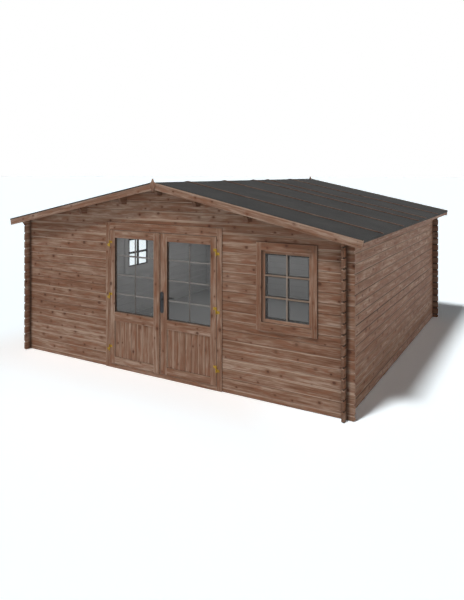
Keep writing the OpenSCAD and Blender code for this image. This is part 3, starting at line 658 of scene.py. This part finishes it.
# Roof
# Purlins: darker tone and darker sawn ends are painted shade under the barge boards
PURLINS = wood_material("purlin_wood", grain_y, 5.3, cut_axis=1, tone=0.8, ends_tone=0.55)
BARGES = wood_material("barge_wood", grain_slope, 6.1, edges=True, top_highlight=BARGE_TOP_HIGHLIGHT)
BATTENS = wood_material("batten_wood", grain_battens, 7.7, tone=0.5)
DECK = wood_material("deck_wood", grain_battens, 7.1)
EAVES = wood_material("eave_wood", grain_y, 10.6)
FELT = felt_material()

# Doors and windows
LEVEL = wood_material("level_wood", grain_x, 8.2, edges=True, inside=INNER_GREY)
UPRIGHT = wood_material("upright_wood", grain_z, 9.4, edges=True, inside=INNER_GREY)
# Leaves, casings, sashes and bars: faces turned away from face_axis take a painted shade
LEAF = {side: wood_material(f"{side}_leaf_wood", grain_leaf(*ends), seed, edges=True, face_axis=1)
        for side, ends, seed in (("left", (-stile_out, -stile_in), 11.5),
                                 ("right", (stile_in, stile_out), 12.8))}
PANELS = {side: wood_material(f"{side}_panel_wood", grain_z, seed, courses=panel_low[side],
                              course_w=panel_board_w[side], joint_dark=0.3, wear_highlight_edges=0.7)
          for side, seed in (("left", 19.3), ("right", 22.6))}
FRONT_CASING = wood_material("front_casing_wood", grain_framed(0, front_mid, sash_half), 13.3,
                             edges=True, face_axis=1, reveal=0.5, inside=INNER_GREY)
FRONT_SASH = wood_material("front_sash_wood", grain_framed(0, front_mid, pane_half), 14.9,
                           edges=True, face_axis=1, tone=1.25, inside=INNER_GREY,
                           shade=(front_mid - sash_half, front_mid - pane_half + SASH_SHADE_PAST,
                                  SASH_SHADE_DARK))
LEFT_CASING = wood_material("left_casing_wood", grain_framed(1, left_mid, sash_half), 15.1,
                            edges=True, face_axis=0, reveal=0.5, inside=INNER_GREY)
LEFT_SASH = wood_material("left_sash_wood", grain_framed(1, left_mid, pane_half), 16.7,
                          edges=True, face_axis=0, tone=1.25, inside=INNER_GREY)
FRONT_BARS = wood_material("front_bar_wood", grain_z, 20.7, face_axis=1, even=WINDOW_BAR_EVEN)
LEFT_BARS = wood_material("left_bar_wood", grain_z, 21.1, face_axis=0, even=WINDOW_BAR_EVEN)
FRONT_LEVELS = wood_material("front_level_wood", grain_x, 23.4, face_axis=1, even=WINDOW_LEVEL_EVEN)
LEFT_LEVELS = wood_material("left_level_wood", grain_y, 24.2, face_axis=0, even=WINDOW_LEVEL_EVEN)
DOOR_LEVELS = wood_material("door_level_wood", grain_x, 17.2, even=LEVEL_BAR_EVEN)
DOOR_UPRIGHTS = wood_material("door_upright_wood", grain_z, 17.9, even=UPRIGHT_BAR_EVEN)
# Nearly black beads and back bars: painted shade in the pane reveals
SHADE_BEADS = wood_material("shade_bead_wood", grain_z, 18.4, tone=0.06, grey=0.3)
GLASS = glass_material()

BRASS = metal_material("brass", (0.22, 0.124, 0.015), (0.47, 0.295, 0.044), metallic=0.9,
                       polished=0.25, dull=0.45)
IRON = metal_material("black_iron", (0.012, 0.012, 0.014), (0.030, 0.030, 0.033), metallic=0.3,
                      polished=0.4, dull=0.6)
BLACK = metal_material("black_lever", (0.003, 0.003, 0.003), (0.009, 0.009, 0.009), metallic=0.2,
                       polished=0.5, dull=0.7)
NAILS = metal_material("nail_steel", (0.050, 0.036, 0.028), (0.105, 0.090, 0.080), metallic=0.6,
                       polished=0.45, dull=0.65)

NODE_MATERIALS = {
    "front_wall_left": FRONT_LOGS, "front_wall_right": FRONT_LOGS, "front_gable": FRONT_LOGS,
    "rear_wall": REAR_LOGS, "rear_gable": REAR_LOGS, "left_wall": LEFT_LOGS,
    "left_wall_plate": LEFT_LOGS, "right_wall": RIGHT_LOGS, "right_wall_plate": RIGHT_LOGS,
    "ridge_purlin": PURLINS, "left_purlins": PURLINS, "right_purlins": PURLINS,
    "left_felt": FELT, "right_felt": FELT, "left_felt_battens": BATTENS,
    "right_felt_battens": BATTENS, "front_barge_boards": BARGES, "rear_barge_boards": BARGES,
    "finials": UPRIGHT, "eave_boards": EAVES, "door_left_jamb": UPRIGHT,
    "door_right_jamb": UPRIGHT, "door_head": LEVEL, "door_sill": LEVEL,
    "left_leaf_frame": LEAF["left"], "right_leaf_frame": LEAF["right"],
    "left_leaf_strip": UPRIGHT, "left_leaf_glass": GLASS, "right_leaf_glass": GLASS,
    "front_window_frame": FRONT_CASING, "front_window_sash": FRONT_SASH,
    "left_window_frame": LEFT_CASING, "left_window_sash": LEFT_SASH,
    "front_window_glass": GLASS, "left_window_glass": GLASS, "jamb_hinges": BRASS,
    "left_leaf_hinges": BRASS, "right_leaf_hinges": BRASS, "lock_plates": IRON,
    "outer_knob": BLACK, "inner_lever": BLACK,
}
for node, material in NODE_MATERIALS.items():
    slots = NODES[node].data.materials
    slots.clear()
    slots.append(material)


def linked(name, data):
    """A new object in the scene."""
    made = bpy.data.objects.new(name, data)
    bpy.context.scene.collection.objects.link(made)
    return made


def meshed(name, mesh, material):
    """Turns a bmesh into an object."""
    data = bpy.data.meshes.new(name)
    mesh.to_mesh(data)
    mesh.free()
    data.materials.append(material)
    return linked(name, data)


def piece(name, mesh, body, material, place=None):
    """Turns a bmesh into a piece that rides on a body."""
    if place is not None:
        mesh.transform(place)
    bmesh.ops.recalc_face_normals(mesh, faces=mesh.faces)
    made = meshed(name, mesh, material)
    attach(made, body)
    return made


def box_into(mesh, low, high, bevel):
    """Adds a box with bevelled edges."""
    made = bmesh.ops.create_cube(mesh, size=1.0)["verts"]
    for vert in made:
        vert.co = Vector(low[i] + (vert.co[i] + 0.5) * (high[i] - low[i]) for i in range(3))
    edges = dict.fromkeys(edge for vert in made for edge in vert.link_edges)
    bmesh.ops.bevel(mesh, geom=list(edges), offset=bevel, segments=1, affect="EDGES")


def loft_into(mesh, outlines):
    """Skins a row of outlines that have the same number of corners, and closes both ends."""
    rings = [[mesh.verts.new(place) for place in outline] for outline in outlines]
    for ring, after in zip(rings, rings[1:]):
        for j in range(len(ring)):
            k = (j + 1) % len(ring)
            mesh.faces.new((ring[j], ring[k], after[k], after[j]))
    mesh.faces.new(rings[0])
    mesh.faces.new(rings[-1])


def bars_into(mesh, pane, panes, size, depth, upright=True, level=True, spread=0.0):
    """A grid of bars over a pane given as (low, high) in a vertical plane; depth is their Y range.

    The level bars share out the pane's height and a spread beyond each end of it.
    """
    (x0, z0), (x1, z1) = pane
    half = size[0] / 2
    bevel = size[0] * BAR_BEVEL
    columns, rows = panes
    uprights = [x0 + (x1 - x0) * i / columns for i in range(1, columns)]
    for x in uprights if upright else ():
        box_into(mesh, (x - half, depth[0], z0), (x + half, depth[1], z1), bevel)
    sides = [x0] + [x + way * half for x in uprights for way in (-1, 1)] + [x1]
    for j in range(1, rows if level else 1):
        z = z0 - spread + (z1 - z0 + 2 * spread) * j / rows
        for a, b in zip(sides[::2], sides[1::2]):
            box_into(mesh, (a, depth[0], z - half), (b, depth[1], z + half), bevel)


def beads_into(mesh, pane, width, depth):
    """Beads round a pane: two full uprights with two level ones between them."""
    (x0, z0), (x1, z1) = pane
    bevel = width * BEAD_BEVEL
    for a, b in ((x0, x0 + width), (x1 - width, x1)):
        box_into(mesh, (a, depth[0], z0), (b, depth[1], z1), bevel)
    for a, b in ((z0, z0 + width), (z1 - width, z1)):
        box_into(mesh, (x0 + width, depth[0], a), (x1 - width, depth[1], b), bevel)


def window_bars(name, pane, uprights, levels, place):
    """Wooden bars before the pane of a window, and nearly black bars and beads behind it as painted
    shade.
    """
    opening = ((-pane_half, pane[0].z + GROOVE), (pane_half, pane[1].z - GROOVE))
    off_middle = (front_pane[1].y - front_pane[0].y) / 2 + AIR
    before = (-off_middle - WINDOW_BAR[1], -off_middle)
    behind = (off_middle, off_middle + BACK_BAR[1])
    mesh = bmesh.new()
    bars_into(mesh, opening, WINDOW_PANES, WINDOW_BAR, before, level=False)
    piece(f"{name}_uprights", mesh, "house", uprights, place)
    mesh = bmesh.new()
    bars_into(mesh, opening, WINDOW_PANES, WINDOW_BAR, before, upright=False)
    piece(f"{name}_levels", mesh, "house", levels, place)
    mesh = bmesh.new()
    bars_into(mesh, opening, WINDOW_PANES, BACK_BAR, behind)
    beads_into(mesh, opening, BEAD_W, behind)
    piece(f"{name}_beads", mesh, "house", SHADE_BEADS, place)


window_bars("front_window", front_pane, FRONT_BARS, FRONT_LEVELS,
            Matrix.Translation((front_mid, (front_pane[0].y + front_pane[1].y) / 2, 0)))
window_bars("left_window", left_pane, LEFT_BARS, LEFT_LEVELS,
            Matrix.Translation(((left_pane[0].x + left_pane[1].x) / 2, left_mid, 0))
            @ Matrix.Rotation(-math.pi / 2, 4, "Z"))


def leaf_bars(side):
    """Bars, and nearly black beads behind the pane of a door leaf as painted shade."""
    low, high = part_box(f"{side}_leaf_glass")
    opening = ((low.x + GROOVE, low.z + GROOVE), (high.x - GROOVE, high.z - GROOVE))
    edge = GROOVE + DOOR_BEAD[0]
    in_beads = ((low.x + edge, low.z + edge), (high.x - edge, high.z - edge))
    back = high.y + AIR
    depth = (back, back + DOOR_BAR[1])
    mesh = bmesh.new()
    bars_into(mesh, in_beads, DOOR_PANES, DOOR_BAR, depth, level=False)
    piece(f"{side}_leaf_uprights", mesh, f"{side}_door", DOOR_UPRIGHTS)
    mesh = bmesh.new()
    bars_into(mesh, in_beads, DOOR_PANES, DOOR_BAR, depth, upright=False, spread=DOOR_BAR_SPREAD)
    piece(f"{side}_leaf_levels", mesh, f"{side}_door", DOOR_LEVELS)
    mesh = bmesh.new()
    beads_into(mesh, opening, DOOR_BEAD[0], (back, back + DOOR_BEAD[1]))
    piece(f"{side}_leaf_beads", mesh, f"{side}_door", SHADE_BEADS)


def panel_boards(side):
    """Boards of a door panel; the outer two reach into the grooves of the stiles."""
    low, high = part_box(f"{side}_leaf_panel")
    joints = [panel_low[side] + panel_board_w[side] * i for i in range(1, PANEL_BOARDS)]
    ends = [low.x, *joints, high.x]
    mesh = bmesh.new()
    for a, b in zip(ends, ends[1:]):
        box_into(mesh, (a, low.y, low.z), (b, high.y, high.z), PANEL_BEVEL)
    boards = piece(f"{side}_leaf_boards", mesh, f"{side}_door", PANELS[side])
    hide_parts(f"{side}_leaf_panel")


def deck_boards(side):
    """Roof boards, ridge to eave, with a small V between them underneath."""
    low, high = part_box(f"{side}_roof_deck")
    ridge, eave = (low.x, high.x) if side == "right" else (high.x, low.x)
    thick = DECK_T / math.cos(ROOF_PITCH)
    count = round((high.y - low.y) / DECK_BOARD_W)
    width = (high.y - low.y) / count
    mesh = bmesh.new()
    for i in range(count):
        y0, y1 = low.y + width * i, low.y + width * (i + 1)
        section = ((y0, DECK_NOTCH), (y0 + DECK_NOTCH, 0), (y1 - DECK_NOTCH, 0), (y1, DECK_NOTCH),
                   (y1, thick), (y0, thick))
        under = {x: high.z - thick - (abs(x) - abs(ridge)) * SLOPE for x in (ridge, eave)}
        loft_into(mesh, [[(x, y, under[x] + h) for y, h in section] for x in (ridge, eave)])
    boards = piece(f"{side}_roof_boards", mesh, "house", DECK)
    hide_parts(f"{side}_roof_deck")


def face_y(box, outward):
    """Where the front (-1) or the rear (1) face of a box lies."""
    return box[0].y if outward < 0 else box[1].y


def felt_lips(end, outward):
    """The felt turned down over the top edge of the barge boards, clear of the finials."""
    low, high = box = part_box(f"{end}_barge_boards")
    thick = high.y - low.y
    ends = (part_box("finials")[1].x + LIP_FROM_FINIAL, high.x)
    mesh = bmesh.new()
    for sign, drop in LIP_DROP.items():
        section = ((0, drop), (LIP_T, drop), (LIP_T, -LIP_T), (-thick, -LIP_T), (-thick, 0), (0, 0))
        loft_into(mesh, [[(sign * x, face_y(box, outward) + outward * (out + AIR),
                           high.z - x * SLOPE + AIR - down) for out, down in section] for x in ends])
    piece(f"{end}_felt_lips", mesh, "house", FELT)


for side in SIDES:
    leaf_bars(side)
    panel_boards(side)
for side in SIDES:
    deck_boards(side)
ENDS = (("front", -1), ("rear", 1))
for end, outward in ENDS:
    felt_lips(end, outward)


def solids(node):
    """Boxes of a node's separate solids."""
    mesh = bmesh.new()
    mesh.from_mesh(NODES[node].data)
    bmesh.ops.remove_doubles(mesh, verts=mesh.verts, dist=1e-5)
    left, boxes = set(mesh.verts), []
    for first in mesh.verts:
        if first not in left:
            continue
        left.discard(first)
        found, waiting = [], [first]
        while waiting:
            vert = waiting.pop()
            found.append(vert.co.copy())
            for edge in vert.link_edges:
                other = edge.other_vert(vert)
                if other in left:
                    left.discard(other)
                    waiting.append(other)
        boxes.append(tuple(Vector(pick(co[i] for co in found) for i in range(3))
                           for pick in (min, max)))
    mesh.free()
    return boxes


def heads_into(mesh, places, outward, size):
    """Round heads with a recess in the middle, standing on a surface that faces outward."""
    radius, rise = size
    out = Vector(outward).normalized()
    side = out.orthogonal().normalized()
    across = out.cross(side)
    angles = [2 * math.pi * i / HEAD_SIDES for i in range(HEAD_SIDES)]
    for place in places:
        loft_into(mesh, [[Vector(place) + out * rise * lift
                          + radius * share * (math.cos(a) * side + math.sin(a) * across)
                          for a in angles] for share, lift in HEAD_PROFILE])


def hinge_screws(node, name, body):
    """Screws of the hinges; a plate's middle is a quarter hinge above the low end of its half."""
    mesh = bmesh.new()
    for low, high in solids(node):
        near, far = sorted((low.x, high.x), key=abs)
        inset = math.copysign(SCREW_INSET, low.x)
        x = far - inset if body == "house" else near + inset
        z = low.z + HINGE_QUARTER
        heads_into(mesh, [(x, high.y - HINGE_PLATE_T, z + d) for d in (-SCREW_APART, SCREW_APART)],
                   (0, -1, 0), SCREW)
    piece(name, mesh, body, BRASS)


def keyhole_into(mesh, place, out_y):
    """A dark keyhole on a plate: a round and, below it, a slot that widens downwards."""
    start, turn = KEY_ARC
    angles = [math.radians(start + turn * i / KEY_SIDES) for i in range(KEY_SIDES + 1)]
    outline = [(KEY_R * math.cos(a), KEY_R * math.sin(a)) for a in angles]
    outline += [(-KEY_R * KEY_FOOT, -KEY_DROP), (KEY_R * KEY_FOOT, -KEY_DROP)]
    loft_into(mesh, [[(place[0] + x, place[1] + out_y * rise, place[2] + z) for x, z in outline]
                     for rise in KEY_RISE])


def lock_marks():
    """Screws and keyhole of each lock plate."""
    screws, keyholes = bmesh.new(), bmesh.new()
    for low, high in solids("lock_plates"):
        out_y = -1 if low.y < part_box("right_leaf_frame")[0].y else 1
        face = face_y((low, high), out_y)
        x = (low.x + high.x) / 2
        heads_into(screws, [(x, face, low.z + PLATE_END), (x, face, high.z - PLATE_END)],
                   (0, out_y, 0), PLATE_SCREW)
        keyhole_into(keyholes, (x, face, low.z + KEY_HEIGHT), out_y)
    piece("lock_screws", screws, "right_door", IRON)
    piece("keyholes", keyholes, "right_door", BLACK)


def barge_nails_into(mesh, end, outward):
    """Nails of the barge boards, over the purlins and at the ends, and of the finial before them."""
    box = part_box(f"{end}_barge_boards")
    reach, top = box[1].x, box[1].z
    purlins = [(low.x + high.x) / 2 for low, high in solids("right_purlins")]
    along = (BARGE_NAIL_FIRST, *purlins, (purlins[-1] + reach) / 2, reach - BARGE_NAIL_LAST)
    places = [(sign * x, face_y(box, outward), top - x * SLOPE - down)
              for sign in (-1, 1) for x in along for down in BARGE_NAIL_DOWN]
    heads_into(mesh, places, (0, outward, 0), NAIL)
    face = face_y(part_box("finials"), outward)
    heads_into(mesh, [(0, face, top - down) for down in FINIAL_NAIL_DOWN], (0, outward, 0), NAIL)


def clouts_into(mesh, side, sign):
    """Clout nails along the battens of a slope."""
    for low, high in solids(f"{side}_felt_battens"):
        reach = max(abs(low.x), abs(high.x))
        count = round(reach / CLOUT_GAP)
        for i in range(count):
            x = (i + 0.5) * reach / count
            heads_into(mesh, [(sign * x, (low.y + high.y) / 2, high.z - x * SLOPE)],
                       (sign * math.sin(ROOF_PITCH), 0, math.cos(ROOF_PITCH)), CLOUT)


def casing_nails_into(mesh, node, axis):
    """Nails along the boards round a window whose face looks along an axis."""
    run = 1 - axis
    for low, high in solids(node):
        upright = high.z - low.z > high[run] - low[run]
        moved = 2 if upright else run
        for share in CASING_NAILS:
            place = (low + high) / 2
            place[axis] = low[axis]
            place[moved] += share * (high[moved] - low[moved])
            heads_into(mesh, [place], [-1 if i == axis else 0 for i in range(3)], NAIL)


def door_nails_into(mesh):
    """Nails of the door's jambs and head."""
    for node in ("door_left_jamb", "door_right_jamb"):
        low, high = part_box(node)
        x = math.copysign(max(abs(low.x), abs(high.x)) - JAMB_NAIL_INSET, low.x)
        heads_into(mesh, [(x, low.y, low.z + share * (high.z - low.z)) for share in JAMB_NAILS],
                   (0, -1, 0), NAIL)
    low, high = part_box("door_head")
    heads_into(mesh, [(low.x + share * (high.x - low.x), low.y, (low.z + high.z) / 2)
                      for share in HEAD_NAILS], (0, -1, 0), NAIL)


hinge_screws("jamb_hinges", "jamb_screws", "house")
hinge_screws("left_leaf_hinges", "left_leaf_screws", "left_door")
hinge_screws("right_leaf_hinges", "right_leaf_screws", "right_door")
lock_marks()
nails = bmesh.new()
for end, outward in ENDS:
    barge_nails_into(nails, end, outward)
clouts_into(nails, "left", -1)
clouts_into(nails, "right", 1)
casing_nails_into(nails, "front_window_frame", 1)
casing_nails_into(nails, "left_window_frame", 0)
door_nails_into(nails)
piece("house_nails", nails, "house", NAILS)


# Stage: a pale floor, the ground inside the house, lights and camera
def stage_plane(name, half, height, material):
    mesh = bmesh.new()
    mesh.faces.new([mesh.verts.new((x * half, y * half, height))
                    for x, y in ((-1, -1), (1, -1), (1, 1), (-1, 1))])
    made = meshed(name, mesh, material)


def floor_material():
    """White where it is seen, with a painted shade of slight grey at the front and left foot of the
    house.
    """
    made, s = bare_material("floor")
    x, y, _ = s.split(s.place())
    foot = ((-WALL_X, -WALL_X), (WALL_X - FLOOR_SHADE_REACH, WALL_X), FLOOR_SHADE_REACH)
    colour = s.mix(near_boxes(s, x, y, [foot]), FLOOR_FAR, FLOOR_NEAR)
    white = s.node("ShaderNodeBsdfDiffuse", {"Color": colour})
    pale = s.node("ShaderNodeBsdfDiffuse", {"Color": FLOOR_BOUNCE})
    both = s.node("ShaderNodeMixShader", {0: s.seen(), 1: pale.outputs[0], 2: white.outputs[0]})
    s.node("ShaderNodeOutputMaterial", {"Surface": both.outputs[0]})
    return made


def room_ground_material():
    made, s, surface = plain_material("room_ground")
    cloud = s.noise(s.place(), scale=3.0, detail=3.0)
    s.plug(surface.inputs["Base Color"], s.stops(cloud, ROOM_TONES))
    surface.inputs["Roughness"].default_value = 0.9
    return made


def studio_world():
    """White where it is seen; its light comes from a band over the horizon, most from the right."""
    made = bpy.data.worlds.new("studio")
    made.use_nodes = True
    made.node_tree.nodes.clear()
    s = Shader(made.node_tree)
    x, _, z = s.split(s.node("ShaderNodeTexCoord").outputs["Generated"])
    band = s.ramp(z, 0.0, GLOW_BAND, to_low=1.0, to_high=0.0)
    around = s.math("MAXIMUM", s.scaled(x, *GLOW_SIDE), GLOW_LEAST)
    glow = s.math("ADD", s.math("MULTIPLY", band, around), GLOW_ABOVE)
    strength = s.blend(s.seen(), glow, 1.0)
    sky = s.node("ShaderNodeBackground", {"Color": WHITE, "Strength": strength})
    s.node("ShaderNodeOutputWorld", {"Surface": sky.outputs[0]})
    return made


stage_plane("floor", FLOOR_HALF, FLOOR_Z, floor_material())
stage_plane("room_ground", WALL_X - LOG_T / 2, ROOM_Z, room_ground_material())

scene = bpy.context.scene
scene.world = studio_world()

key = bpy.data.lights.new("key", "SUN")
key.energy = SUN_STRENGTH
key.angle = SUN_ANGLE
key_lamp = linked("key", key)
key_lamp.rotation_mode = "QUATERNION"
key_lamp.rotation_quaternion = SUN_TRAVEL.to_track_quat("-Z", "Y")

room = bpy.data.lights.new("room", "AREA")
room.shape = "SQUARE"
room.size = ROOM_LAMP_SIZE
room.energy = ROOM_LIGHT
room_lamp = linked("room", room)
room_lamp.location = ROOM_LAMP_PLACE
for ray in ("camera", "glossy", "transmission"):
    setattr(room_lamp, f"visible_{ray}", False)

camera = bpy.data.cameras.new("camera")
camera.lens = CAMERA_LENS
camera.sensor_width = CAMERA_SENSOR
camera.shift_y = CAMERA_SHIFT
camera.clip_end = CAMERA_FAR
viewer = linked("camera", camera)
viewer.location = CAMERA_PLACE
viewer.rotation_euler = (math.pi / 2, 0, CAMERA_YAW)
scene.camera = viewer
scene.view_settings.view_transform = "Standard"
